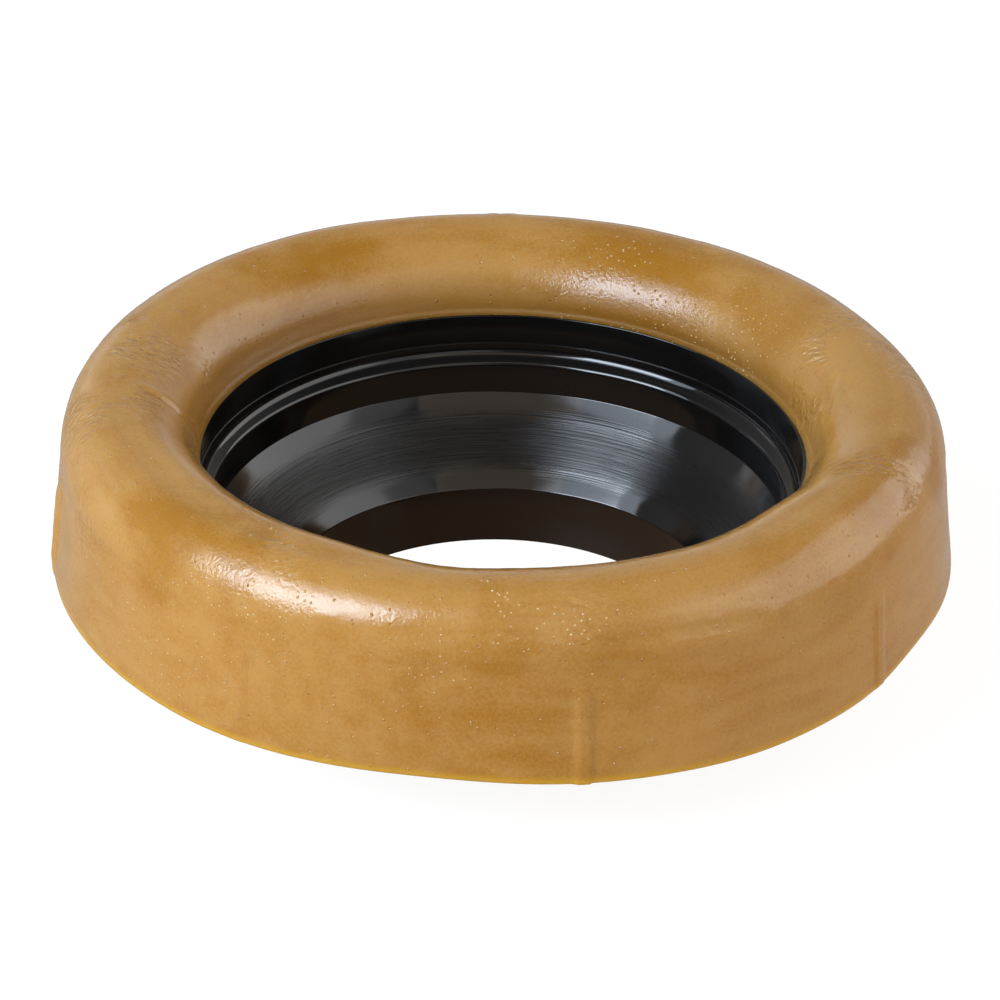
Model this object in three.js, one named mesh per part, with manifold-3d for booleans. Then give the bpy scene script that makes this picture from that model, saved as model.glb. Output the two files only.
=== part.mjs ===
// A toilet pan seal: a wax ring cast round the rim of a black plastic horn.
// Millimetres, +Z up along the seal's axis, origin at the middle of the horn's outlet end,
// which is what the seal stands on. -Y is the front.
import * as THREE from "three";
import { mergeVertices } from "three/addons/utils/BufferGeometryUtils.js";
import Module from "manifold-3d";

// The horn, from its outlet up to its rim. The radii are those of its bore.
const HORN_WALL = 1.6;
const OUTLET_BORE_R = 30.1;
const THROAT_BORE_R = 31.7;
const COLLAR_BORE_R = 42.45;
const SOCKET_BORE_R = 44.4;
const RIM_BORE_R = 44.7;
const OUTLET_LENGTH = 8.4;
const CONE_LENGTH = 11.55;
const COLLAR_LENGTH = 5.05;
const LEDGE_RISE = 0.8;
const SOCKET_LENGTH = 6.4;

// A fine step round the socket, a little above the ledge, which slopes up to the socket's wall.
const STEP_ABOVE_LEDGE = 1.7;
const STEP_DEPTH = 0.15;

// The flange at the rim, which the wax is cast over, so that the horn can't pull out.
const FLANGE_WIDTH = 3.7;
const FLANGE_THICKNESS = 1.6;

// Radii of the horn's moulded corners.
const LEDGE_FILLET_R = 2;
const LEDGE_EDGE_R = 1.1;
const CONE_CORNER_R = 0.5;
const OUTLET_EDGE_R = 0.2;
const FLANGE_EDGE_R = 0.5;

// The wax ring: a flat base, a leaning wall, a round crest and a lip at the horn's rim.
const WAX_BELOW_RIM = 16.1;
const WAX_ABOVE_RIM = 11.2;
const WAX_BASE_R = 66.7;
const WALL_LEAN = 1.8;
const OUTER_ROUND_WIDTH = 7.9;
const OUTER_ROUND_HEIGHT = 9.5;
const BASE_EDGE_R = 0.8;
const LIP_SETBACK = 0.15;
const LIP_FLARE = 0.55;
const LIP_HEIGHT = 0.6;

// Ribs down the outside of the wax, proudest at its base.
const RIB_COUNT = 8;
const RIB_R = 1.9;
const RIB_PROUD = 0.8;
const RIB_BELOW_SHOULDER = 1.1;
const FIRST_RIB_DEG = 10.4; // from the front, towards +X

// The hairline between the wax and the plastic that it is cast on.
const CAST_GAP = 0.3;

// Facets.
const TURN_SEGMENTS = 80;
const CORNER_STEPS = 2;
const CREST_STEPS = 8;
const RIB_SEGMENTS = 10;

// Heights and radii worked out from the sizes above.
const coneTopZ = OUTLET_LENGTH + CONE_LENGTH;
const ledgeInnerZ = coneTopZ + COLLAR_LENGTH;
const ledgeOuterZ = ledgeInnerZ + LEDGE_RISE;
const rimZ = ledgeOuterZ + SOCKET_LENGTH;
const flangeUnderZ = rimZ - FLANGE_THICKNESS;
const flangeR = RIM_BORE_R + HORN_WALL + FLANGE_WIDTH;
const waxBaseZ = rimZ - WAX_BELOW_RIM;
const crestZ = rimZ + WAX_ABOVE_RIM;
const shoulderZ = crestZ - OUTER_ROUND_HEIGHT;
const shoulderR = WAX_BASE_R - WALL_LEAN;
const crestR = shoulderR - OUTER_ROUND_WIDTH;
const ribTopZ = shoulderZ - RIB_BELOW_SHOULDER;

const wasm = await Module();
wasm.setup();

// A mesh geometry as a solid that can be cut and joined.
function toSolid(geometry) {
  const bare = geometry.clone();
  bare.deleteAttribute("normal");
  bare.deleteAttribute("uv");
  const merged = mergeVertices(bare, 1e-4);
  return new wasm.Manifold(
    new wasm.Mesh({
      numProp: 3,
      vertProperties: new Float32Array(merged.attributes.position.array),
      triVerts: new Uint32Array(merged.index.array),
    }),
  );
}

function toGeometry(solid) {
  const mesh = solid.getMesh();
  const geometry = new THREE.BufferGeometry();
  geometry.setAttribute("position", new THREE.BufferAttribute(mesh.vertProperties, 3));
  geometry.setIndex(new THREE.BufferAttribute(mesh.triVerts, 1));
  const flat = geometry.toNonIndexed();
  flat.computeVertexNormals();
  return flat;
}

// Sections lie in a plane through the axis: x is the radius and y is the height.
const spot = (radius, height) => new THREE.Vector2(radius, height);
const corner = (at, round = 0) => ({ at, round });

// The arc that rounds a corner, from the side before it to the side after it. It takes up no
// more of either side than it may.
function cornerArc(before, at, after, round, mostOfSide) {
  const toBefore = before.clone().sub(at).normalize();
  const toAfter = after.clone().sub(at).normalize();
  const halfAngle = Math.acos(toBefore.dot(toAfter)) / 2;
  const taken = Math.min(round / Math.tan(halfAngle), mostOfSide);
  const bisector = toBefore.clone().add(toAfter).normalize();
  const centre = at.clone().addScaledVector(bisector, taken / Math.cos(halfAngle));
  const start = at.clone().addScaledVector(toBefore, taken);
  const end = at.clone().addScaledVector(toAfter, taken);
  const startArm = start.sub(centre);
  const endArm = end.sub(centre);
  const sweep = Math.atan2(startArm.cross(endArm), startArm.dot(endArm));
  const arc = [];
  for (let i = 0; i <= CORNER_STEPS; i++) {
    const arm = startArm.clone().rotateAround(spot(0, 0), (sweep * i) / CORNER_STEPS);
    arc.push(arm.add(centre));
  }
  return arc;
}

// A closed section with its corners rounded where they have a radius. The roundings at the two
// ends of a side may each take up a part of it in proportion to their radii.
function rounded(corners) {
  return corners.flatMap(({ at, round }, i) => {
    if (round === 0) return [at];
    const before = corners.at(i - 1);
    const after = corners[(i + 1) % corners.length];
    const shareOfSide = (end) => (at.distanceTo(end.at) * round) / (round + end.round);
    const mostOfSide = Math.min(shareOfSide(before), shareOfSide(after));
    return cornerArc(before.at, at, after.at, round, mostOfSide);
  });
}

// A corner of a closed section that runs up its outside, left sharp unless the section is
// hollow there.
function roundIfHollow({ at, round }, i, corners) {
  const before = corners.at(i - 1).at;
  const after = corners[(i + 1) % corners.length].at;
  const turn = at.clone().sub(before).cross(after.clone().sub(at));
  return corner(at, turn < 0 ? round : 0);
}

// A section turned once round the axis. Its points run up the outside and down the inside.
function turned(section) {
  const closed = [...section, section[0]];
  return toSolid(new THREE.LatheGeometry(closed, TURN_SEGMENTS).rotateX(Math.PI / 2));
}

// A quarter of an ellipse, from one angle to another, both ends included.
function quarterRound(centre, width, height, fromDeg, toDeg) {
  const points = [];
  for (let i = 0; i <= CREST_STEPS; i++) {
    const angle = THREE.MathUtils.degToRad(THREE.MathUtils.lerp(fromDeg, toDeg, i / CREST_STEPS));
    points.push(spot(centre.x + width * Math.cos(angle), centre.y + height * Math.sin(angle)));
  }
  return points;
}

// The bore's line, from the outlet up.
const bore = [
  spot(OUTLET_BORE_R, 0),
  spot(THROAT_BORE_R, OUTLET_LENGTH),
  spot(COLLAR_BORE_R, coneTopZ),
  spot(COLLAR_BORE_R, ledgeInnerZ),
  spot(SOCKET_BORE_R, ledgeOuterZ),
  spot(RIM_BORE_R, rimZ),
];

// The bore's line moved out by a distance square to each of its sides, between the same ends.
function outsideOfBore(distance) {
  const sides = bore.slice(1).map((end, i) => {
    const along = end.clone().sub(bore[i]).normalize();
    const outward = spot(along.y, -along.x);
    return { from: bore[i].clone().addScaledVector(outward, distance), along };
  });
  const meeting = (a, b) => {
    const reach = b.from.clone().sub(a.from).cross(b.along) / a.along.cross(b.along);
    return a.from.clone().addScaledVector(a.along, reach);
  };
  const level = (height) => ({ from: spot(0, height), along: spot(1, 0) });
  const lines = [level(0), ...sides, level(rimZ)];
  return lines.slice(1).map((line, i) => meeting(lines[i], line));
}

// The corners of the horn's outside, from its outlet up to under its flange, or a gap clear of
// them all.
function outsideCorners(gap) {
  const outside = outsideOfBore(HORN_WALL + gap);
  const [outlet, throat, coneTop, underLedge, socketFoot, socketTop] = outside;
  return [
    corner(outlet, OUTLET_EDGE_R),
    corner(throat, CONE_CORNER_R + HORN_WALL),
    corner(coneTop, CONE_CORNER_R),
    corner(underLedge),
    corner(socketFoot, LEDGE_FILLET_R),
    corner(spot(socketTop.x, flangeUnderZ - gap)),
  ];
}

// The horn is one wall all the way up: outlet, cone, collar, ledge and socket. Its flange
// stands out at the rim.
function hornSolid() {
  const stepZ = ledgeOuterZ + STEP_ABOVE_LEDGE;
  return turned(
    rounded([
      ...outsideCorners(0),
      corner(spot(flangeR, flangeUnderZ), FLANGE_EDGE_R),
      corner(spot(flangeR, rimZ), FLANGE_EDGE_R),
      corner(spot(RIM_BORE_R, rimZ)),
      corner(spot(SOCKET_BORE_R + STEP_DEPTH, stepZ)),
      corner(spot(SOCKET_BORE_R, stepZ)),
      corner(spot(SOCKET_BORE_R, ledgeOuterZ), LEDGE_FILLET_R),
      corner(spot(COLLAR_BORE_R, ledgeInnerZ), LEDGE_EDGE_R),
      corner(spot(COLLAR_BORE_R, coneTopZ), CONE_CORNER_R),
      corner(spot(THROAT_BORE_R, OUTLET_LENGTH), CONE_CORNER_R),
      corner(spot(OUTLET_BORE_R, 0), OUTLET_EDGE_R),
    ]),
  );
}

// The horn with its bore filled in, a hairline larger all round: the room it has in the wax.
function hornRoomSolid() {
  const corners = [
    corner(spot(0, 0)),
    ...outsideCorners(CAST_GAP),
    corner(spot(flangeR + CAST_GAP, flangeUnderZ - CAST_GAP)),
    corner(spot(flangeR + CAST_GAP, rimZ + CAST_GAP)),
    corner(spot(0, rimZ + CAST_GAP)),
  ];
  return turned(rounded(corners.map(roundIfHollow)));
}

// The wax before the horn's room is cut from it.
function waxBlankSolid() {
  const lipR = RIM_BORE_R + LIP_SETBACK;
  const lipZ = rimZ + LIP_HEIGHT;
  const innerRoundWidth = crestR - lipR - LIP_FLARE;
  const outer = quarterRound(spot(crestR, shoulderZ), OUTER_ROUND_WIDTH, OUTER_ROUND_HEIGHT, 0, 90);
  const inner = quarterRound(spot(crestR, lipZ), innerRoundWidth, crestZ - lipZ, 90, 180);
  return turned(
    rounded([
      corner(spot(OUTLET_BORE_R, waxBaseZ)),
      corner(spot(WAX_BASE_R, waxBaseZ), BASE_EDGE_R),
      ...outer.map((at) => corner(at)),
      ...inner.slice(1).map((at) => corner(at)),
      corner(spot(lipR, rimZ + CAST_GAP)),
      corner(spot(lipR, rimZ)),
      corner(spot(OUTLET_BORE_R, rimZ)),
    ]),
  );
}

// One rib: a round bar that runs up the leaning wall, mostly inside it, from below the base
// to the height where it has sunk level with the wall.
function ribSolid(angle) {
  const lean = WALL_LEAN / (shoulderZ - waxBaseZ);
  const headR = WAX_BASE_R - lean * (ribTopZ - waxBaseZ) - RIB_R;
  const baseR = WAX_BASE_R + RIB_PROUD - RIB_R;
  const head = new THREE.Vector3(headR, 0, ribTopZ);
  const base = new THREE.Vector3(baseR, 0, waxBaseZ);
  const foot = base.clone().addScaledVector(base.clone().sub(head).normalize(), RIB_R);
  const bar = new THREE.ExtrudeGeometry(new THREE.Shape().absarc(0, 0, RIB_R, 0, 2 * Math.PI), {
    steps: 1,
    curveSegments: RIB_SEGMENTS,
    extrudePath: new THREE.LineCurve3(foot, head),
  });
  return toSolid(bar.rotateZ(angle));
}

// A block that ends at the height of the wax's base, to trim the ribs' feet flat.
function belowBaseSolid() {
  const width = 2 * (WAX_BASE_R + RIB_R + RIB_PROUD);
  const depth = 2 * RIB_R;
  const block = new THREE.BoxGeometry(width, width, depth);
  return toSolid(block.translate(0, 0, waxBaseZ - depth / 2));
}

function waxSolid() {
  let solid = waxBlankSolid();
  for (let i = 0; i < RIB_COUNT; i++) {
    const fromFront = THREE.MathUtils.degToRad(FIRST_RIB_DEG) + (2 * Math.PI * i) / RIB_COUNT;
    solid = solid.add(ribSolid(fromFront - Math.PI / 2));
  }
  return solid.subtract(belowBaseSolid()).subtract(hornRoomSolid());
}

const wax = new THREE.MeshStandardMaterial({ color: 0xc08a4a, roughness: 0.35, metalness: 0 });
const blackPlastic = new THREE.MeshStandardMaterial({ color: 0x161514, roughness: 0.3, metalness: 0 });

function piece(name, solid, material) {
  const mesh = new THREE.Mesh(toGeometry(solid), material);
  mesh.name = name;
  return mesh;
}

const seal = new THREE.Group();
seal.add(piece("horn", hornSolid(), blackPlastic));
seal.add(piece("wax_ring", waxSolid(), wax));

export default seal;
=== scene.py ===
"""A toilet pan seal: a golden wax ring cast round a black plastic horn.

Lengths below are in millimetres, as they are read off the object, and become metres in MM.
Azimuths are in degrees from the front (-Y) towards +X.
"""
import math

import bpy
from mathutils import Matrix, Vector, noise


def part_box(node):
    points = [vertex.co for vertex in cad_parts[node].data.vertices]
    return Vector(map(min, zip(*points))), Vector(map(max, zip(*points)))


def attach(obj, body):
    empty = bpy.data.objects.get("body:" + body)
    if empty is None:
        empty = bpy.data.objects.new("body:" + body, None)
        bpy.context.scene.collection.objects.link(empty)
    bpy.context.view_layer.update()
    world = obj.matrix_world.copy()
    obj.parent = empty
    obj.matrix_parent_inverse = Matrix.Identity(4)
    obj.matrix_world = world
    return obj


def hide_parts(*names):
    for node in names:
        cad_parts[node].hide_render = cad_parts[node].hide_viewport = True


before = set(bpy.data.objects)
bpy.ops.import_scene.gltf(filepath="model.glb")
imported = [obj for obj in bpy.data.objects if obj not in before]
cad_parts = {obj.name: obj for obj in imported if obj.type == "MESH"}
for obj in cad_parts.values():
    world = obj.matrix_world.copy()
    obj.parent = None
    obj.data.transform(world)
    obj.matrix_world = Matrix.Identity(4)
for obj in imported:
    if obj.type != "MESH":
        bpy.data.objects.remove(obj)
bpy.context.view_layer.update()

MM = 0.001

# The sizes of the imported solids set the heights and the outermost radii.
_, horn_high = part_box("horn")
wax_low, wax_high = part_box("wax_ring")
RIM_Z = horn_high.z / MM
FLANGE_R = horn_high.x / MM
BASE_Z = wax_low.z / MM
CREST_Z = wax_high.z / MM

# The horn's bore, from its outlet up.
WALL = 1.6
OUTLET_R = 30.1
THROAT_R = 31.7
THROAT_Z = 8.4
COLLAR_R = 42.45
CONE_TOP_Z = 19.95
LEDGE_INNER_Z = 25.0
LEDGE_OUTER_Z = 25.8
SOCKET_R = 44.4
RIM_R = 44.7
STEP_ABOVE_LEDGE = 1.7
STEP_Z = LEDGE_OUTER_Z + STEP_ABOVE_LEDGE
STEP_DEPTH = 0.15
FLANGE_THICKNESS = 1.6
LEDGE_FILLET = 1.4
LEDGE_EDGE = 0.8
CONE_CORNER = 0.5
OUTLET_EDGE = 0.2
FLANGE_EDGE = 0.35

# The wax's section. Its lip is set back from the horn's rim, and flares a little above it.
BASE_R = 66.7
SHOULDER_R = 64.9
OUTER_ROUND_HEIGHT = 9.5
SHOULDER_Z = CREST_Z - OUTER_ROUND_HEIGHT
CREST_R = 57.0
BASE_EDGE = 0.8
LIP_SETBACK = 0.05
LIP_R = RIM_R + LIP_SETBACK
LIP_FLARE_R = 45.4
LIP_HEIGHT = 0.6
LIP_Z = RIM_Z + LIP_HEIGHT

# The hairline between the wax and the horn, and the height at which the lip ends, over the rim.
CAST_GAP = 0.3
LIP_END_Z = RIM_Z + CAST_GAP / 3

# The soft ring is a little oval: longer towards this azimuth, and shorter across it.
OVAL = 0.62
OVAL_AZIMUTH = 54

# Broad places where its wall's foot is pushed out, or in if negative: azimuth, half width in
# degrees, and how far.
PUSHED = [
    (-8, 15, -1.45),
    (31, 9, 0.35),
    (64, 11, -1.0),
    (-38, 10, 0.2),
]

# The same for the whole section, and for the inner slope, where it is how far the wax bulges.
SHIFTED = [
    (-102, 32, -0.55),
    (90, 15, 0.5),
]
BULGED = [
    (-62, 30, 1.0),
    (-27, 12, 0.5),
    (-7, 9, -0.25),
    (52, 8, 0.5),
]

# How fast the wall's push fades on its way up, and over what shares of the inner slope its bulge
# rises, from the crest, and sinks a little, at the lip.
PUSH_TAPER = 1.5
BULGE_RISE = (0, 0.45)
BULGE_FALL = (0.6, 1)
BULGE_LOSS = 0.35

# Ribs down the outside of the wax: azimuth, how far each stands out, and the height above the
# base over which its foot fades away.
RIBS = [
    (-81.5, 0.55, 5),
    (-33, 0.22, 6),
    (10.4, 0.38, 0.4),
    (54.4, 0.34, 2),
    (101, 0.6, 1.5),
    (146, 0.6, 1),
    (-169, 0.6, 2),
    (-124, 0.6, 1),
]
RIB_HALF_WIDTH = 1.5
RIB_BELOW_SHOULDER = 1.1
RIB_TOP_Z = SHOULDER_Z - RIB_BELOW_SHOULDER
RIB_TOP_FADE = 4

# Creases in the wax's skin: the points each runs through, its depth and its half width.
CREASES = [
    ([(-52.5, -2, 42.3), (-49, -2.8, 40.8), (-46.5, -2, 38), (-45.3, 2, 34)], 0.3, 0.7),
    ([(15, -62.6, 37.4), (27.3, -58.4, 37.3), (35.7, -54, 36.4)], 0.11, 1.2),
    ([(49, 8, 41.2), (46.5, 0, 39), (46.6, -8, 40)], 0.2, 0.8),
    ([(-3, 62.5, 39.5), (0.5, 59, 42.6)], 0.25, 0.7),
]

# The raised edge beside a crease: its height and distance, and how far the crease is worked out,
# in the crease's depths and half widths.
CREASE_EDGE_HEIGHT = 0.5
CREASE_EDGE_AWAY = 1.8
CREASE_REACH = 4

# The lumps of the cast wax: how many there are to a millimetre, and how high they are.
BROAD_LUMPS = (0.035, 0.22)
MEDIUM_LUMPS = (0.11, 0.09)
SMALL_LUMPS = (0.42, 0.03)

# Places where the wax is clear and golden, where bubbles gather and where the skin is wrinkled:
# the middle of each, how far it reaches, and how strong it is.
CLEAR_PLACES = [
    ((-46, -42, 41), 15, 1),
    ((-30, 38, 41), 16, 0.8),
    ((20, 42, 39), 18, 1),
    ((18, -62, 38), 9, 0.6),
    ((0, -62, 37), 8, 0.7),
    # This broad place on the front wall is painted shade: the front wall catches less sheen than
    # the sides.
    ((0, -66, 24), 30, 0.3),
    ((53, -22, 43), 10, 0.7),
    ((42, 28, 41), 12, 0.8),
    ((-36, -46, 42), 9, 0.7),
    ((40, -46, 40), 10, 0.7),
    ((52, -32, 40), 10, 0.8),
    ((60, -16, 40), 9, 0.8),
]
BUBBLY_PLACES = [
    ((-38, -52, 38), 9, 1),
    ((-30, -57, 37), 8, 0.8),
    ((-32, -46, 43), 7, 0.6),
    ((-46, -46, 29), 22, 0.35),
    ((3, -62, 41), 8, 0.9),
    ((11, -62, 40), 9, 1),
    ((-10, -64, 33), 12, 0.3),
    ((10, 46, 39), 10, 0.8),
    ((18, 45, 40), 10, 1),
    ((29, 35, 36), 10, 1),
    ((38, 27, 38), 12, 1),
    ((20, 40, 35), 14, 0.4),
]
WRINKLED_PLACES = [
    ((-58, -4, 42), 17, 1),
    ((-53, 14, 42), 15, 1),
    ((-60, -27, 35), 9, 0.45),
    ((53, 14, 42), 17, 1),
    ((47, 6, 38), 8, 0.8),
    ((53, -24, 43), 9, 0.7),
    ((-30, -50, 43), 7, 0.5),
    ((12, -62, 38), 7, 0.6),
    ((8, -58, 42), 9, 0.5),
]

# The ragged edges of these places: how many waves to a millimetre, and how far they reach. Each
# place is at its full strength out to a share of its reach.
RAGGEDNESS = [(0.13, 5), (0.5, 1.5)]
PLACE_CORE = 0.2

# Without a seed, these edges would be drawn anew at every run.
RAGGED_SEED = 1

# How far from its lip the wax is painted darker: partly for the black plastic under thin wax,
# partly as painted shade. It is only so at the far side: from these distances behind the axis.
THIN_AND_SHADE_REACH = 8
THIN_AND_SHADE_FAR_Y = (-10, 25)

# How much of the wax's haze comes in clouds and in streaks, and how clear the clear places are.
CLOUDINESS = 0.055
STREAKINESS = 0.06
CLEARNESS = 0.16

# How many clouds, streaks, smears and patches of wrinkles there are to a millimetre.
CLOUD_FINENESS = 0.085
STREAK_FINENESS = 0.32
STREAK_DRIFT_FINENESS = 0.02
STREAK_DRIFT = 9
SMEAR_FINENESS = 0.3
SMEARING = 0.7
WRINKLE_PATCH_FINENESS = 0.16
WRINKLE_PATCH_EDGE = (-0.2, 0.15)

# How much finer each layer of layered noise is than the one before it.
LACUNARITY = 2.1

# The camera that took the photograph, fitted to the rings in it. Pixels are of its 1000 x 1000.
PHOTO_WIDTH_PX = 1000
FOCAL_PX = 4279
TARGET_PX = (498.9, 538.7)
TARGET_Z = 17.45
CAMERA_DISTANCE = 639
CAMERA_ELEVATION = 29.72
CAMERA_ROLL = 0.75
SENSOR_WIDTH = 36


def link(obj):
    """Puts a new object in the scene."""
    bpy.context.scene.collection.objects.link(obj)
    return obj


def add_camera():
    """The photograph's camera. It looks a little above its target, which sits low in the frame."""
    camera = link(bpy.data.objects.new("camera", bpy.data.cameras.new("camera")))
    elevation = math.radians(CAMERA_ELEVATION)
    back = Vector((0, -math.cos(elevation), math.sin(elevation)))
    camera.location = (Vector((0, 0, TARGET_Z)) + back * CAMERA_DISTANCE) * MM
    centre_px = PHOTO_WIDTH_PX / 2
    drop = math.atan((TARGET_PX[1] - centre_px) / FOCAL_PX)
    swing = math.atan((TARGET_PX[0] - centre_px) / FOCAL_PX)
    tilt = math.pi / 2 - elevation + drop
    turn = Matrix.Rotation(swing, 4, "Z") @ Matrix.Rotation(tilt, 4, "X")
    roll = Matrix.Rotation(math.radians(CAMERA_ROLL), 4, "Z")
    camera.rotation_euler = (turn @ roll).to_euler()
    camera.data.sensor_width = SENSOR_WIDTH
    camera.data.lens = FOCAL_PX * SENSOR_WIDTH / PHOTO_WIDTH_PX
    camera.data.dof.use_dof = False
    bpy.context.scene.camera = camera


def arc(centre, radii, start, end, steps):
    """Points of an ellipse's arc from one angle to another, in degrees, both ends included."""
    points = []
    for i in range(steps + 1):
        angle = math.radians(start + (end - start) * i / steps)
        across = centre[0] + radii[0] * math.cos(angle)
        up = centre[1] + radii[1] * math.sin(angle)
        points.append((across, up))
    return points


def round_corner(before, at, after, radius, steps):
    """The points of the arc that rounds a corner of a section."""
    at = Vector(at)
    to_before = (Vector(before) - at).normalized()
    to_after = (Vector(after) - at).normalized()
    half = to_before.angle(to_after) / 2
    centre = at + (to_before + to_after).normalized() * radius / math.sin(half)
    start = at + to_before * radius / math.tan(half) - centre
    end = at + to_after * radius / math.tan(half) - centre
    sweep = math.atan2(start.x * end.y - start.y * end.x, start.dot(end))
    points = []
    for i in range(steps + 1):
        turned = Matrix.Rotation(sweep * i / steps, 2) @ start
        points.append(tuple(centre + turned))
    return points


def rounded(corners, steps):
    """A closed section from ((radius, height), rounding) corners."""
    section = []
    for i, (at, rounding) in enumerate(corners):
        if rounding:
            before = corners[i - 1][0]
            after = corners[(i + 1) % len(corners)][0]
            section.extend(round_corner(before, at, after, rounding, steps))
        else:
            section.append(tuple(at))
    return section


def refined(line, longest):
    """The same line with no stretch longer than a length."""
    points = [line[0]]
    for start, end in zip(line, line[1:]):
        parts = max(1, math.ceil(math.dist(start, end) / longest))
        for i in range(1, parts + 1):
            share = i / parts
            across = start[0] + (end[0] - start[0]) * share
            up = start[1] + (end[1] - start[1]) * share
            points.append((across, up))
    return points


def ring_mesh(name, rows, columns, place):
    """A closed ring: place(row, azimuth) gives each point, in millimetres."""
    points = []
    for row in range(rows):
        for column in range(columns):
            x, y, z = place(row, 2 * math.pi * column / columns)
            points.append((x * MM, y * MM, z * MM))
    faces = []
    for row in range(rows):
        above = (row + 1) % rows
        for column in range(columns):
            beside = (column + 1) % columns
            faces.append(
                (
                    row * columns + column,
                    row * columns + beside,
                    above * columns + beside,
                    above * columns + column,
                )
            )
    mesh = bpy.data.meshes.new(name)
    mesh.from_pydata(points, [], faces)
    mesh.shade_smooth()
    return link(bpy.data.objects.new(name, mesh))


def around(radius, azimuth, height):
    """A point at an azimuth from the front, towards +X."""
    return (radius * math.sin(azimuth), -radius * math.cos(azimuth), height)


def smooth_step(low, high, value):
    """0 at one end of a range and 1 at the other, smoothly."""
    share = min(max((value - low) / (high - low), 0), 1)
    return share * share * (3 - 2 * share)


def degrees_away(azimuth, centre):
    """How far an azimuth in radians is from one in degrees, in degrees from -180 to 180."""
    return (math.degrees(azimuth) - centre + 180) % 360 - 180


# Horn

HORN_COLUMNS = 320
HORN_CORNER_STEPS = 6
HORN_STEP = 2.5

BORE = [
    (OUTLET_R, 0),
    (THROAT_R, THROAT_Z),
    (COLLAR_R, CONE_TOP_Z),
    (COLLAR_R, LEDGE_INNER_Z),
    (SOCKET_R, LEDGE_OUTER_Z),
    (RIM_R, RIM_Z),
]


def meeting(first, second):
    """Where two lines cross, each given by a point and a direction."""
    reach = (second[0] - first[0]).cross(second[1]) / first[1].cross(second[1])
    return first[0] + first[1] * reach


def outside_of_bore(distance):
    """The bore's line moved out square to each of its sides, between the same end heights."""
    level = Vector((1, 0))
    lines = [(Vector((0, BORE[0][1])), level)]
    for start, end in zip(BORE, BORE[1:]):
        along = (Vector(end) - Vector(start)).normalized()
        outward = Vector((along.y, -along.x))
        lines.append((Vector(start) + outward * distance, along))
    lines.append((Vector((0, BORE[-1][1])), level))
    return [meeting(first, second) for first, second in zip(lines, lines[1:])]


def horn_section():
    """The horn's closed section: up its outside, over the flange and down its bore."""
    outlet, throat, cone_top, under_ledge, socket_foot, socket_top = outside_of_bore(WALL)
    flange_under = RIM_Z - FLANGE_THICKNESS
    return rounded(
        [
            (outlet, OUTLET_EDGE),
            (throat, CONE_CORNER + WALL),
            (cone_top, CONE_CORNER),
            (under_ledge, 0),
            (socket_foot, LEDGE_FILLET),
            ((socket_top.x, flange_under), 0),
            ((FLANGE_R, flange_under), FLANGE_EDGE),
            ((FLANGE_R, RIM_Z), FLANGE_EDGE),
            ((RIM_R, RIM_Z), STEP_DEPTH),
            ((SOCKET_R + STEP_DEPTH, STEP_Z + STEP_DEPTH / 2), STEP_DEPTH / 4),
            ((SOCKET_R, STEP_Z), STEP_DEPTH / 4),
            ((SOCKET_R, LEDGE_OUTER_Z), LEDGE_FILLET),
            ((COLLAR_R, LEDGE_INNER_Z), LEDGE_EDGE),
            ((COLLAR_R, CONE_TOP_Z), CONE_CORNER / 2),
            ((THROAT_R, THROAT_Z), CONE_CORNER),
            ((OUTLET_R, 0), OUTLET_EDGE),
        ],
        HORN_CORNER_STEPS,
    )


def add_horn():
    """The horn, turned round the axis from its section."""
    section = refined(horn_section(), HORN_STEP)
    horn = ring_mesh(
        "black_horn",
        len(section),
        HORN_COLUMNS,
        lambda row, azimuth: around(section[row][0], azimuth, section[row][1]),
    )
    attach(horn, "root")
    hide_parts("horn")
    return horn


# Wax

WAX_COLUMNS = 840
WAX_STEP = 0.52
BASE_EDGE_STEPS = 4
OUTER_ROUND_STEPS = 26
INNER_ROUND_STEPS = 32

# The wax is true at its lip and its base. How far from each its unevenness starts and is full.
LIP_HOLD = (0, 3)
BASE_HOLD = (-0.5, 2.5)


def wax_section():
    """The part of the wax's section that shows: base, wall, crest and inner slope, to the lip."""
    base = (BASE_R, BASE_Z)
    shoulder = (SHOULDER_R, SHOULDER_Z)
    foot = round_corner((FLANGE_R, BASE_Z), base, shoulder, BASE_EDGE, BASE_EDGE_STEPS)
    outer_radii = (SHOULDER_R - CREST_R, CREST_Z - SHOULDER_Z)
    outer = arc((CREST_R, SHOULDER_Z), outer_radii, 0, 90, OUTER_ROUND_STEPS)
    inner_radii = (CREST_R - LIP_FLARE_R, CREST_Z - LIP_Z)
    inner = arc((CREST_R, LIP_Z), inner_radii, 90, 180, INNER_ROUND_STEPS)
    return refined(foot + outer, WAX_STEP) + inner[1:] + [(LIP_R, LIP_END_Z)]


def hidden_wax_section():
    """The part that the horn hides: over its flange and down its outside to the base."""
    _, throat, cone_top, under_ledge, socket_foot, socket_top = outside_of_bore(WALL + CAST_GAP)
    flange_under = RIM_Z - FLANGE_THICKNESS - CAST_GAP
    at_base = throat.lerp(cone_top, (BASE_Z - throat.y) / (cone_top.y - throat.y))
    return [
        (FLANGE_R + CAST_GAP, LIP_END_Z),
        (FLANGE_R + CAST_GAP, flange_under),
        (socket_top.x, flange_under),
        tuple(socket_foot),
        tuple(under_ledge),
        tuple(cone_top),
        tuple(at_base),
        ((at_base.x + BASE_R) / 2, BASE_Z),
    ]


def rib_height(azimuth, height):
    """How far a rib stands out of the wall at a place."""
    for centre, proud, fade in RIBS:
        across = math.radians(degrees_away(azimuth, centre)) * BASE_R / RIB_HALF_WIDTH
        if abs(across) < 1 and height < RIB_TOP_Z:
            foot = smooth_step(0, fade, height - BASE_Z + fade / 4)
            head = smooth_step(0, RIB_TOP_FADE, RIB_TOP_Z - height)
            return proud * foot * head * smooth_step(1, 0.5, abs(across))
    return 0


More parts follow.
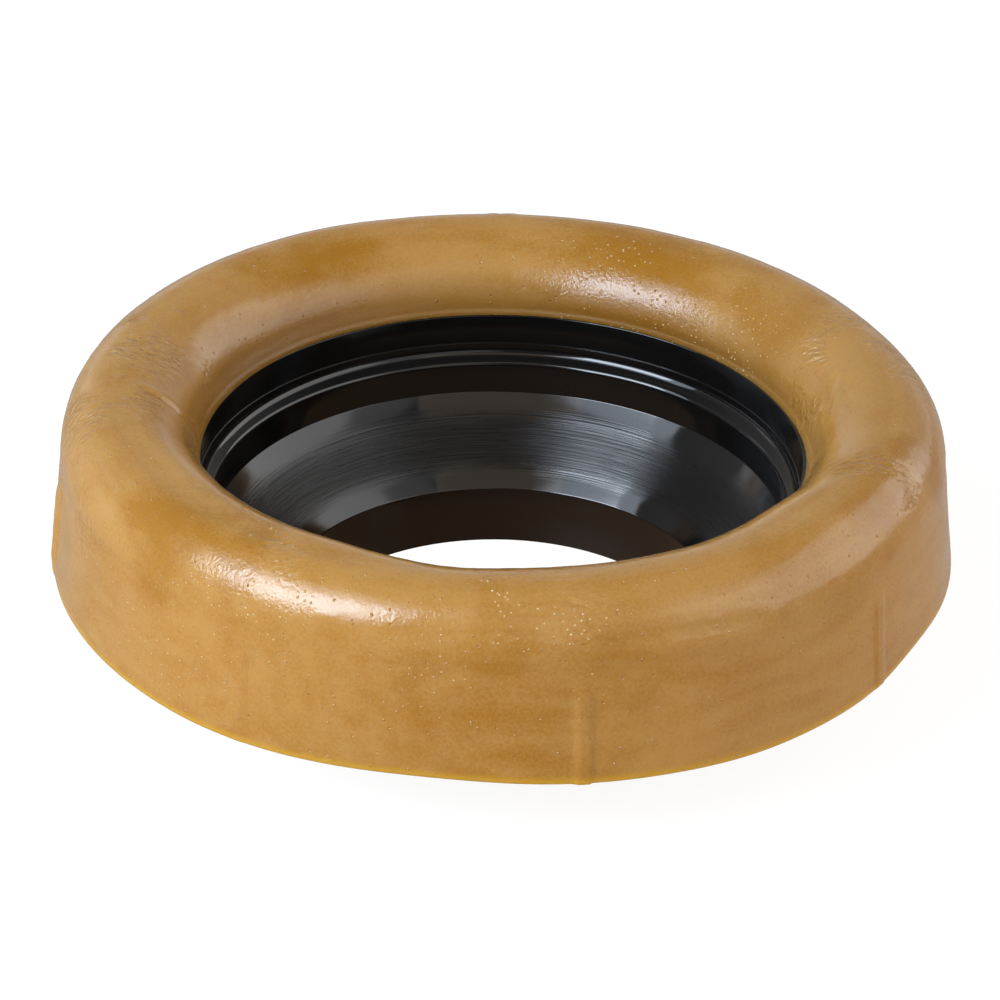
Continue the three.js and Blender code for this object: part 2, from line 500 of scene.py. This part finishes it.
def humps(azimuth, places):
    """The sum of smooth humps round the ring, each an azimuth, a half width and an amount."""
    total = 0
    for centre, half_width, amount in places:
        total += amount * math.exp(-((degrees_away(azimuth, centre) / half_width) ** 2))
    return total


def push(azimuth, height):
    """How far the wall is out of true, most at its foot."""
    up = min(max((height - BASE_Z) / (CREST_Z - BASE_Z), 0), 1)
    return humps(azimuth, PUSHED) * (1 - up) ** PUSH_TAPER


def bulge(azimuth, radius):
    """How far the inner slope stands proud, from nothing at the crest."""
    share = (CREST_R - radius) / (CREST_R - LIP_R)
    near_lip = smooth_step(*BULGE_FALL, share)
    from_crest = smooth_step(*BULGE_RISE, share)
    return humps(azimuth, BULGED) * from_crest * (1 - BULGE_LOSS * near_lip)


def lumps(point):
    """How high the shallow lumps of the cast wax are at a point on it."""
    finer = point * MEDIUM_LUMPS[0] + Vector((7, 3, 1))
    finest = point * SMALL_LUMPS[0] + Vector((1, 8, 5))
    broad = noise.noise(point * BROAD_LUMPS[0]) * BROAD_LUMPS[1]
    medium = noise.noise(finer) * MEDIUM_LUMPS[1]
    small = noise.fractal(finest, 0.8, LACUNARITY, 3) * SMALL_LUMPS[1]
    return broad + medium + small


def distance_to_segment(point, start, end):
    """How far a point is from a straight line between two others."""
    along = end - start
    share = min(max((point - start).dot(along) / along.length_squared, 0), 1)
    return (start + along * share - point).length


CREASE_SEGMENTS = [
    (Vector(start), Vector(end), depth, half_width)
    for points, depth, half_width in CREASES
    for start, end in zip(points, points[1:])
]


def crease(point):
    """How far the skin dips, with a raised edge beside the dip, at a place."""
    deepest = 0
    for start, end, depth, half_width in CREASE_SEGMENTS:
        away = distance_to_segment(point, start, end) / half_width
        if away < CREASE_REACH:
            edge = CREASE_EDGE_HEIGHT * math.exp(-((away - CREASE_EDGE_AWAY) ** 2))
            dip = math.exp(-away * away) - edge
            deepest = max(deepest, depth * dip, key=abs)
    return -deepest


def section_normals(section):
    """The outward normal at each point of a section that runs up its outside."""
    normals = []
    for i in range(len(section)):
        before = Vector(section[max(i - 1, 0)])
        after = Vector(section[min(i + 1, len(section) - 1)])
        along = (after - before).normalized()
        normals.append(Vector((along.y, -along.x)))
    return normals


def paint(mesh, name, value_at):
    """Stores a value at each point of a mesh, for its material."""
    values = [value_at(vertex.co / MM) for vertex in mesh.vertices]
    mesh.attributes.new(name, "FLOAT", "POINT").data.foreach_set("value", values)


def nearness(point, places):
    """How strong the strongest of some places is at a point. Each has a ragged edge."""
    ragged = point.copy()
    for waves, sway in RAGGEDNESS:
        ragged += noise.noise_vector(point * waves) * sway
    strongest = 0
    for centre, reach, strength in places:
        away = (ragged - Vector(centre)).length
        strongest = max(strongest, strength * (1 - smooth_step(PLACE_CORE * reach, reach, away)))
    return strongest


def wrinkling(point):
    """Wrinkles come in patches within the wrinkled places."""
    patch = noise.noise(point * WRINKLE_PATCH_FINENESS)
    return nearness(point, WRINKLED_PLACES) * smooth_step(*WRINKLE_PATCH_EDGE, patch)


def thinness_and_shade(point):
    """How much the wax near its far lip is painted darker: partly the black plastic under thin wax,
    partly painted shade.
    """
    from_lip = math.dist((point.xy.length, point.z), (LIP_R, LIP_Z))
    return (1 - smooth_step(0, THIN_AND_SHADE_REACH, from_lip)) * smooth_step(*THIN_AND_SHADE_FAR_Y, point.y)


def haziness(point):
    """How milky the wax is, in clouds and in streaks that run round the ring."""
    cloud = noise.fractal(point * CLOUD_FINENESS, 0.9, LACUNARITY, 4)
    drift = noise.noise(point * STREAK_DRIFT_FINENESS) * STREAK_DRIFT
    across = Vector((point.xy.length * STREAK_FINENESS, point.z * STREAK_FINENESS, drift))
    streak = noise.fractal(across, 0.7, LACUNARITY, 3)
    clear = nearness(point, CLEAR_PLACES)
    return 0.5 + CLOUDINESS * cloud + STREAKINESS * streak - CLEARNESS * clear


def dullness(point):
    """Where the wax is smeared and less glossy."""
    return 0.5 + SMEARING * noise.fractal(point * SMEAR_FINENESS, 0.8, LACUNARITY, 2)


def add_wax():
    """The wax ring: its true section turned round the axis, made uneven, and painted."""
    shown = wax_section()
    hidden = hidden_wax_section()
    section = shown + hidden
    normals = section_normals(shown)

    def place(row, azimuth):
        radius, height = section[row]
        if row >= len(shown):
            return around(radius, azimuth, height)
        point = Vector(around(radius, azimuth, height))
        lip_hold = smooth_step(*LIP_HOLD, math.dist((radius, height), (LIP_R, RIM_Z)))
        base_hold = smooth_step(*BASE_HOLD, height - BASE_Z) if radius > CREST_R else 1
        out = (lumps(point) + crease(point)) * lip_hold * base_hold
        oval = OVAL * math.cos(2 * math.radians(degrees_away(azimuth, OVAL_AZIMUTH)))
        if radius > CREST_R:
            radius += push(azimuth, height) + rib_height(azimuth, height)
        else:
            out += bulge(azimuth, radius)
        radius += normals[row].x * out + oval * lip_hold + humps(azimuth, SHIFTED)
        height += normals[row].y * out
        return around(radius, azimuth, height)

    wax = ring_mesh("golden_wax_ring", len(section), WAX_COLUMNS, place)
    noise.seed_set(RAGGED_SEED)
    paint(wax.data, "hazy", haziness)
    paint(wax.data, "dull", dullness)
    paint(wax.data, "bubbly", lambda point: nearness(point, BUBBLY_PLACES))
    paint(wax.data, "wrinkled", wrinkling)
    paint(wax.data, "thin_and_shade", thinness_and_shade)
    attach(wax, "root")
    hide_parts("wax_ring")
    return wax


# Materials

CLEAR_GOLD = (0.26, 0.114, 0.011, 1)
HAZY_TAN = (0.35, 0.185, 0.05, 1)
WALL_SHADE_TINT = (1.0, 0.97, 0.93, 1)
EDGE_GLOW_GOLD = (0.45, 0.25, 0.012, 1)
THIN_AND_SHADED_GOLD = (0.16, 0.068, 0.005, 1)
BUBBLE_CREAM_AND_GLINT = (0.85, 0.64, 0.3, 1)

# The haze between which the wax goes from clear to milky, what fine specks add to it, what the
# wrinkles add as painted shade in their valleys and painted light on their ridges, and the shares
# of the darker colour by the far lip (partly painted shade), of the cream in bubbles (partly
# painted glints) and of the edge's painted glow.
HAZE_RANGE = (0.3, 0.6)
SPECK_HAZE = 0.3
WRINKLE_PAINTED_SHADE = 0.3
THIN_AND_SHADE_SHARE = 0.75
CREAM_AND_GLINT_SHARE = 0.25
CREAM_AND_GLINT_EXTRA_SHARE = 0.7
EDGE_GLOW_SHARE = 0.8

# The heights over which the wall's painted shade fades, from the shoulder, and the edge's painted
# glow, from the base.
WALL_SHADE_FADE = (-2, 5)
EDGE_GLOW_FADE = (0.3, 1.9)

# The wax's fine relief, in millimetres. The wrinkles run out from the ring's axis at its sides.
BUBBLE_SHARE = 0.08
BUBBLE_EXTRA_SHARE = 0.7
BUBBLE_SPACING = 0.85
BUBBLE_R = 0.24
BUBBLE_HEIGHT = 0.25
PIT_SHARE = 0.04
PIT_DEPTH = 0.16
WRINKLE_STRETCH = (0.6, 1.2, 1.0)
WRINKLE_FINENESS = 0.9
WRINKLE_DEPTH = 1.15
SPECK_FINENESS = 2.2
GRAIN_FINENESS = 2.0
GRAIN_HEIGHT = 0.035
FROSTING_HEIGHT = 0.06

# How the wax takes light: its gloss, duller by the far lip, and how far light goes into it.
WAX_ROUGHNESS = (0.12, 0.22)
LIP_DULLNESS = 0.35
WAX_IOR = 1.45
SCATTER_SHARE = 0.4
SCATTER_REACH = 3
SCATTER_BY_COLOUR = (1.0, 0.45, 0.12)


def new_material(name):
    """A material, its node tree and its shader."""
    material = bpy.data.materials.new(name)
    material.use_nodes = True
    tree = material.node_tree
    return material, tree, tree.nodes["Principled BSDF"]


def add_node(tree, kind, settings=(), inputs=()):
    """A shader node, with its settings and its sockets' values or links."""
    node = tree.nodes.new(kind)
    for key, value in dict(settings).items():
        setattr(node, key, value)
    for key, value in dict(inputs).items():
        if isinstance(value, bpy.types.NodeSocket):
            tree.links.new(value, node.inputs[key])
        else:
            node.inputs[key].default_value = value
    return node


def maths(tree, operation, *values):
    """The result of a sum or other operation on numbers or sockets."""
    node = add_node(tree, "ShaderNodeMath", {"operation": operation}, dict(enumerate(values)))
    return node.outputs[0]


def weighted_sum(tree, parts):
    """The sum of (socket, weight) pairs."""
    total = 0
    for socket, weight in parts:
        total = maths(tree, "MULTIPLY_ADD", socket, weight, total)
    return total


def spread(tree, value, low, high, to_low=0.0, to_high=1.0):
    """A value taken smoothly from one range to another, and held at its ends."""
    return add_node(
        tree,
        "ShaderNodeMapRange",
        {"interpolation_type": "SMOOTHSTEP"},
        {"Value": value, "From Min": low, "From Max": high, "To Min": to_low, "To Max": to_high},
    ).outputs["Result"]


def mix_colours(tree, factor, first, second, blend="MIX"):
    """The first colour where a factor is 0, and the second, or the blend, where it is 1."""
    settings = {"data_type": "RGBA", "blend_type": blend}
    sockets = {"Factor": factor, "A": first, "B": second}
    return add_node(tree, "ShaderNodeMix", settings, sockets).outputs["Result"]


def grey(value):
    return (value, value, value, 1)


def object_millimetres(tree):
    """The object's own coordinates, in millimetres."""
    coordinates = add_node(tree, "ShaderNodeTexCoord")
    return add_node(
        tree,
        "ShaderNodeVectorMath",
        {"operation": "SCALE"},
        {"Vector": coordinates.outputs["Object"], "Scale": 1 / MM},
    ).outputs[0]


def radius_and_height(tree, place):
    """The distance from the ring's axis, and the height, of a place."""
    split = add_node(tree, "ShaderNodeSeparateXYZ", inputs={"Vector": place}).outputs
    across = maths(tree, "POWER", split["X"], 2)
    along = maths(tree, "POWER", split["Y"], 2)
    return maths(tree, "SQRT", maths(tree, "ADD", across, along)), split["Z"]


def noise_texture(tree, vector, scale, detail=2.0, roughness=0.5):
    """Noise from 0 to 1, with so many waves to a unit."""
    sockets = {"Vector": vector, "Scale": scale, "Detail": detail, "Roughness": roughness}
    return add_node(tree, "ShaderNodeTexNoise", inputs=sockets).outputs["Fac"]


def grooves(tree, place, radius, height):
    """Fine grooves that run round the axis, and change slowly on their way."""
    slow = maths(tree, "MULTIPLY", noise_texture(tree, place, DRIFT_FINENESS), GROOVE_DRIFT)
    section = add_node(tree, "ShaderNodeCombineXYZ", inputs={"X": radius, "Y": height, "Z": slow})
    return noise_texture(tree, section.outputs[0], GROOVE_FINENESS, 2, 0.6)


def painted(tree, name):
    """A value that is painted on the mesh."""
    return add_node(tree, "ShaderNodeAttribute", {"attribute_name": name}).outputs["Fac"]


def domes(tree, place, spacing, radius, share):
    """Round domes, 1 high, at a share of the places of a random grid, and pits at some others."""
    cells = add_node(tree, "ShaderNodeTexVoronoi", inputs={"Vector": place, "Scale": 1 / spacing})
    near = spread(tree, cells.outputs["Distance"], 0.0, radius / spacing, 1.0, 0.0)
    pick = add_node(tree, "ShaderNodeSeparateColor", inputs={"Color": cells.outputs["Color"]})
    chosen = maths(tree, "LESS_THAN", pick.outputs[0], share)
    dented = maths(tree, "GREATER_THAN", pick.outputs[0], 1 - PIT_SHARE)
    return maths(tree, "MULTIPLY", near, chosen), maths(tree, "MULTIPLY", near, dented)


def wrinkles(tree, place):
    """Wrinkles from -0.5 to 0.5, where they are painted."""
    sockets = {0: place, 1: WRINKLE_STRETCH}
    stretched = add_node(tree, "ShaderNodeVectorMath", {"operation": "MULTIPLY"}, sockets)
    pattern = noise_texture(tree, stretched.outputs[0], WRINKLE_FINENESS, 2, 0.55)
    centred = maths(tree, "SUBTRACT", pattern, 0.5)
    return maths(tree, "MULTIPLY", centred, painted(tree, "wrinkled"))


def wax_colour(tree, place, height, wrinkle, bubbles):
    """Clear gold to milky tan, with painted shade in wrinkles, on the wall and in part by the far
    lip, cream bubbles with painted glints, and a painted golden glow at its edge.
    """
    specks = maths(tree, "SUBTRACT", noise_texture(tree, place, SPECK_FINENESS, 2, 0.7), 0.5)
    # The wrinkles add painted shade in their valleys and painted light on their ridges.
    parts = [(painted(tree, "hazy"), 1.0), (specks, SPECK_HAZE), (wrinkle, WRINKLE_PAINTED_SHADE)]
    haze = spread(tree, weighted_sum(tree, parts), *HAZE_RANGE)
    body = mix_colours(tree, haze, CLEAR_GOLD, HAZY_TAN)
    # Painted shade: below the shoulder the wall is tinted warmer and darker than the crest, which
    # catches sheen from above.
    wall_low, wall_high = (SHOULDER_Z + above for above in WALL_SHADE_FADE)
    shade_on_wall = spread(tree, height, wall_low, wall_high, 1.0, 0.0)
    body = mix_colours(tree, shade_on_wall, body, WALL_SHADE_TINT, "MULTIPLY")
    # Painted shade: by the far lip the wax is darkened, partly for the black plastic under thin
    # wax.
    thin_and_shade = maths(tree, "MULTIPLY", painted(tree, "thin_and_shade"), THIN_AND_SHADE_SHARE)
    body = mix_colours(tree, thin_and_shade, body, THIN_AND_SHADED_GOLD)
    # Partly painted glints: bubbles are cream, for their lighter colour and for the highlights they
    # catch.
    bubbly = painted(tree, "bubbly")
    cream_and_glint = maths(tree, "MULTIPLY_ADD", bubbly, CREAM_AND_GLINT_EXTRA_SHARE, CREAM_AND_GLINT_SHARE)
    body = mix_colours(tree, maths(tree, "MULTIPLY", bubbles, cream_and_glint), body, BUBBLE_CREAM_AND_GLINT)
    # Painted glow: the base's edge is golden, for floor light shining through the thin wax there.
    edge_low, edge_high = (BASE_Z + above for above in EDGE_GLOW_FADE)
    glow_on_edge = spread(tree, height, edge_low, edge_high, EDGE_GLOW_SHARE, 0.0)
    return mix_colours(tree, glow_on_edge, body, EDGE_GLOW_GOLD)


def wax_relief(tree, place, wrinkle, bubbles, pits):
    """The skin's fine relief, in millimetres: wrinkles, bubbles, pits and grain."""
    grain = noise_texture(tree, place, GRAIN_FINENESS, 2, 0.6)
    coarseness = maths(tree, "MULTIPLY_ADD", painted(tree, "bubbly"), FROSTING_HEIGHT, GRAIN_HEIGHT)
    return weighted_sum(
        tree,
        [
            (wrinkle, WRINKLE_DEPTH),
            (bubbles, BUBBLE_HEIGHT),
            (pits, -PIT_DEPTH),
            (grain, coarseness),
        ],
    )


def add_bump(tree, shader, relief):
    """Relief in millimetres as a bump."""
    sockets = {"Height": relief, "Strength": 1.0, "Distance": MM}
    bump = add_node(tree, "ShaderNodeBump", inputs=sockets)
    tree.links.new(bump.outputs["Normal"], shader.inputs["Normal"])


def wax_material():
    """Glossy wax that light sinks into, with wrinkles, bubbles, pits and grain."""
    material, tree, shader = new_material("golden_wax")
    place = object_millimetres(tree)
    _, height = radius_and_height(tree, place)
    wrinkle = wrinkles(tree, place)
    share = maths(tree, "MULTIPLY_ADD", painted(tree, "bubbly"), BUBBLE_EXTRA_SHARE, BUBBLE_SHARE)
    bubbles, pits = domes(tree, place, BUBBLE_SPACING, BUBBLE_R, share)
    colour = wax_colour(tree, place, height, wrinkle, bubbles)
    tree.links.new(colour, shader.inputs["Base Color"])
    smeared = spread(tree, painted(tree, "dull"), 0.0, 1.0, *WAX_ROUGHNESS)
    by_lip = maths(tree, "POWER", painted(tree, "thin_and_shade"), 2)
    roughness = maths(tree, "MULTIPLY_ADD", by_lip, LIP_DULLNESS, smeared)
    tree.links.new(roughness, shader.inputs["Roughness"])
    shader.inputs["IOR"].default_value = WAX_IOR
    shader.inputs["Subsurface Weight"].default_value = SCATTER_SHARE
    shader.inputs["Subsurface Radius"].default_value = SCATTER_BY_COLOUR
    shader.inputs["Subsurface Scale"].default_value = SCATTER_REACH * MM
    add_bump(tree, shader, wax_relief(tree, place, wrinkle, bubbles, pits))
    return material


# The middle of the cone is brushed round the axis, and the bands above and below it are polished.
BRUSHED_LOW_Z = (9.0, 13.6)
BRUSHED_HIGH_Z = (14.4, 19.4)
POLISHED_ROUGHNESS = 0.09
BRUSHED_ROUGHNESS = 0.34
POLISHED_GROOVES = 0.002
BRUSHED_GROOVES = 0.17
GROOVE_FINENESS = 4.5
GROOVE_DRIFT = 1.5
DRIFT_FINENESS = 0.02
TUBE_GLOW_BROWN = (0.016, 0.0095, 0.006, 1)
NEAR_BLACK = (0.0032, 0.0029, 0.0027, 1)
HORN_IOR = 1.5

# Its highlights are smeared along the cone's slope, which is a quarter turn from round the axis.
SMEAR = 0.95
SMEAR_TURN = 0.25

# How far from the throat the cone's finish begins and is full, and half the height over which the
# tube's painted glow, a brown that stands in for light inside it, gives way to black.
CONE_FADE = (0.2, 1)
TUBE_GLOW_FADE = 0.3


def horn_material():
    """Black plastic, brushed round the middle of the cone and polished elsewhere."""
    material, tree, shader = new_material("black_polyethylene")
    place = object_millimetres(tree)
    radius, height = radius_and_height(tree, place)
    above = spread(tree, height, *BRUSHED_LOW_Z)
    below = spread(tree, height, *BRUSHED_HIGH_Z, 1.0, 0.0)
    cone_low, cone_high = (THROAT_R + beyond for beyond in CONE_FADE)
    on_cone = spread(tree, radius, cone_low, cone_high)
    brushed = maths(tree, "MULTIPLY", maths(tree, "MULTIPLY", above, below), on_cone)
    roughness = spread(tree, brushed, 0.0, 1.0, POLISHED_ROUGHNESS, BRUSHED_ROUGHNESS)
    tree.links.new(roughness, shader.inputs["Roughness"])
    # Painted glow: below the throat the black plastic is brown, standing in for light inside the
    # tube.
    glow_in_tube = spread(tree, height, THROAT_Z - TUBE_GLOW_FADE, THROAT_Z + TUBE_GLOW_FADE, 1.0, 0.0)
    colour = mix_colours(tree, glow_in_tube, NEAR_BLACK, TUBE_GLOW_BROWN)
    tree.links.new(colour, shader.inputs["Base Color"])
    shader.inputs["IOR"].default_value = HORN_IOR
    shader.inputs["Anisotropic"].default_value = SMEAR
    shader.inputs["Anisotropic Rotation"].default_value = SMEAR_TURN
    round_axis = add_node(tree, "ShaderNodeTangent", {"direction_type": "RADIAL", "axis": "Z"})
    tree.links.new(round_axis.outputs["Tangent"], shader.inputs["Tangent"])
    depth = spread(tree, brushed, 0.0, 1.0, POLISHED_GROOVES, BRUSHED_GROOVES)
    add_bump(tree, shader, maths(tree, "MULTIPLY", grooves(tree, place, radius, height), depth))
    return material


# Studio

FLOOR_REACH = 4000
FLOOR_GREY = 0.15
FLOOR_GLOW = 0.9
SHEET_COLUMNS = 96
HOLE_R = 31
HOLE_GLOW = 1.05

# What the horn reflects under its outlet: how far down it lies, its colours, and how its glow
# grows from front to back.
UNDER_HOLE_DEPTH = 0.5
UNDER_HOLE_GREY = 0.01
UNDER_HOLE_WARM = (1.0, 0.6, 0.3, 1)
UNDER_HOLE_GLOW = (0.1, 0.17)
UNDER_HOLE_GLOW_Y = (-30.0, 0.0)

LAMP_DISTANCE = 900
KEY_COLOUR = (0.87, 0.99, 1.15)
WARM_COLOUR = (1, 0.78, 0.58)

# The sky's brightness from straight down at 0 to straight up at 1, and how it grows from
# front to back.
SKY_STOPS = [(0.47, 0.4), (0.5, 0.9), (0.6, 0.55), (0.72, 0.38), (0.85, 0.3), (0.93, 0.1)]
SKY_FRONT_Y = (-0.9, -0.3)
SKY_STRENGTH = (0.4, 1.0)


def emission_material(name, colour, glow):
    """A dull sheet's material that also gives off white light."""
    material, tree, shader = new_material(name)
    shader.inputs["Base Color"].default_value = colour
    shader.inputs["Roughness"].default_value = 1
    shader.inputs["Specular IOR Level"].default_value = 0
    shader.inputs["Emission Color"].default_value = grey(1)
    shader.inputs["Emission Strength"].default_value = glow
    return material


def under_hole_material():
    """What the horn reflects of the floor in its outlet: a dim warm glow, dimmer in front."""
    material, tree, shader = new_material("dim_under_hole")
    shader.inputs["Base Color"].default_value = grey(UNDER_HOLE_GREY)
    shader.inputs["Emission Color"].default_value = UNDER_HOLE_WARM
    place = object_millimetres(tree)
    split = add_node(tree, "ShaderNodeSeparateXYZ", inputs={"Vector": place})
    glow = spread(tree, split.outputs["Y"], *UNDER_HOLE_GLOW_Y, *UNDER_HOLE_GLOW)
    tree.links.new(glow, shader.inputs["Emission Strength"])
    return material


def circle(radius, height):
    """Points round the axis, in metres."""
    points = []
    for column in range(SHEET_COLUMNS):
        x, y, z = around(radius, 2 * math.pi * column / SHEET_COLUMNS, height)
        points.append((x * MM, y * MM, z * MM))
    return points


def flat_sheet(name, inner, outer, height, material):
    """A flat sheet between two circles, or a whole disc where the inner one is 0."""
    if inner:
        points = circle(inner, height) + circle(outer, height)
        faces = []
        for column in range(SHEET_COLUMNS):
            beside = (column + 1) % SHEET_COLUMNS
            faces.append((column, SHEET_COLUMNS + column, SHEET_COLUMNS + beside, beside))
    else:
        points = circle(outer, height)
        faces = [tuple(range(SHEET_COLUMNS))]
    mesh = bpy.data.meshes.new(name)
    mesh.from_pydata(points, [], faces)
    mesh.materials.append(material)
    sheet = link(bpy.data.objects.new(name, mesh))
    return sheet


def add_floor():
    """A white floor. What shows through the outlet is as white, but throws no light up the horn."""
    white = emission_material("white_sweep", grey(FLOOR_GREY), FLOOR_GLOW)
    flat_sheet("floor", HOLE_R, FLOOR_REACH, 0, white).visible_glossy = False
    glow = emission_material("white_under_hole", grey(0), HOLE_GLOW)
    seen = flat_sheet("floor_in_hole", 0, HOLE_R, 0, glow)
    seen.visible_diffuse = False
    seen.visible_glossy = False
    seen.visible_transmission = False
    dim = under_hole_material()
    flat_sheet("dark_under_hole", 0, HOLE_R * 2, -UNDER_HOLE_DEPTH, dim)


def add_softbox(
    name, azimuth, elevation, size, radiance, colour=(1, 1, 1), diffuse=1.0, glossy=1.0
):
    """A rectangular lamp that faces the object. Its azimuth is from +Y towards +X, and diffuse
    and glossy are the shares of it that matt and glossy surfaces take up."""
    lamp = bpy.data.lights.new(name, "AREA")
    lamp.shape = "RECTANGLE"
    lamp.size = size[0] * MM
    lamp.size_y = size[1] * MM
    lamp.energy = radiance * math.pi * lamp.size * lamp.size_y
    lamp.color = colour
    lamp.diffuse_factor = diffuse
    lamp.specular_factor = glossy
    obj = link(bpy.data.objects.new(name, lamp))
    level = math.cos(math.radians(elevation))
    towards = Vector(
        (
            math.sin(math.radians(azimuth)) * level,
            math.cos(math.radians(azimuth)) * level,
            math.sin(math.radians(elevation)),
        )
    )
    obj.location = (Vector((0, 0, RIM_Z)) + towards * LAMP_DISTANCE) * MM
    obj.rotation_euler = towards.to_track_quat("Z", "Y").to_euler()


def ramp(tree, factor, stops):
    """A colour ramp from (position, colour) stops."""
    node = add_node(tree, "ShaderNodeValToRGB", inputs={"Fac": factor})
    elements = node.color_ramp.elements
    while len(elements) < len(stops):
        elements.new(0.5)
    for element, (position, colour) in zip(elements, stops):
        element.position = position
        element.color = colour
    return node.outputs["Color"]


def add_world():
    """A studio that is white at the horizon but dim in front, overhead and below."""
    world = bpy.data.worlds.new("studio")
    world.use_nodes = True
    tree = world.node_tree
    coordinates = add_node(tree, "ShaderNodeTexCoord")
    ray = coordinates.outputs["Generated"]
    direction = add_node(tree, "ShaderNodeSeparateXYZ", inputs={"Vector": ray})
    upward = maths(tree, "MULTIPLY_ADD", direction.outputs["Z"], 0.5, 0.5)
    sky = ramp(tree, upward, [(position, grey(value)) for position, value in SKY_STOPS])
    tree.links.new(sky, tree.nodes["Background"].inputs["Color"])
    strength = spread(tree, direction.outputs["Y"], *SKY_FRONT_Y, *SKY_STRENGTH)
    tree.links.new(strength, tree.nodes["Background"].inputs["Strength"])
    bpy.context.scene.world = world


def add_lights():
    """The studio and its lamps, placed by what the photograph shows reflected."""
    add_world()
    add_softbox("key", -123, 35.5, (800, 670), 3.6, KEY_COLOUR, diffuse=0.5)
    add_softbox("key_core", -127, 32, (560, 380), 12.5, KEY_COLOUR, diffuse=0.13)
    add_softbox("reflector", 111, 32, (3200, 760), 0.65)
    add_softbox("right_fill", 85, 22, (1500, 800), 1.5, glossy=0)
    add_softbox("warm_card", 180, 56, (820, 420), 0.75, WARM_COLOUR, diffuse=0.2)
    add_softbox("small_reflector", -55, 20, (190, 110), 1.0)


def set_colours():
    """The plain colour transform, which a product photograph comes closest to."""
    scene = bpy.context.scene
    scene.view_settings.view_transform = "Standard"
    scene.view_settings.look = "None"


add_camera()
set_colours()
add_floor()
add_lights()
add_horn().data.materials.append(horn_material())
add_wax().data.materials.append(wax_material())
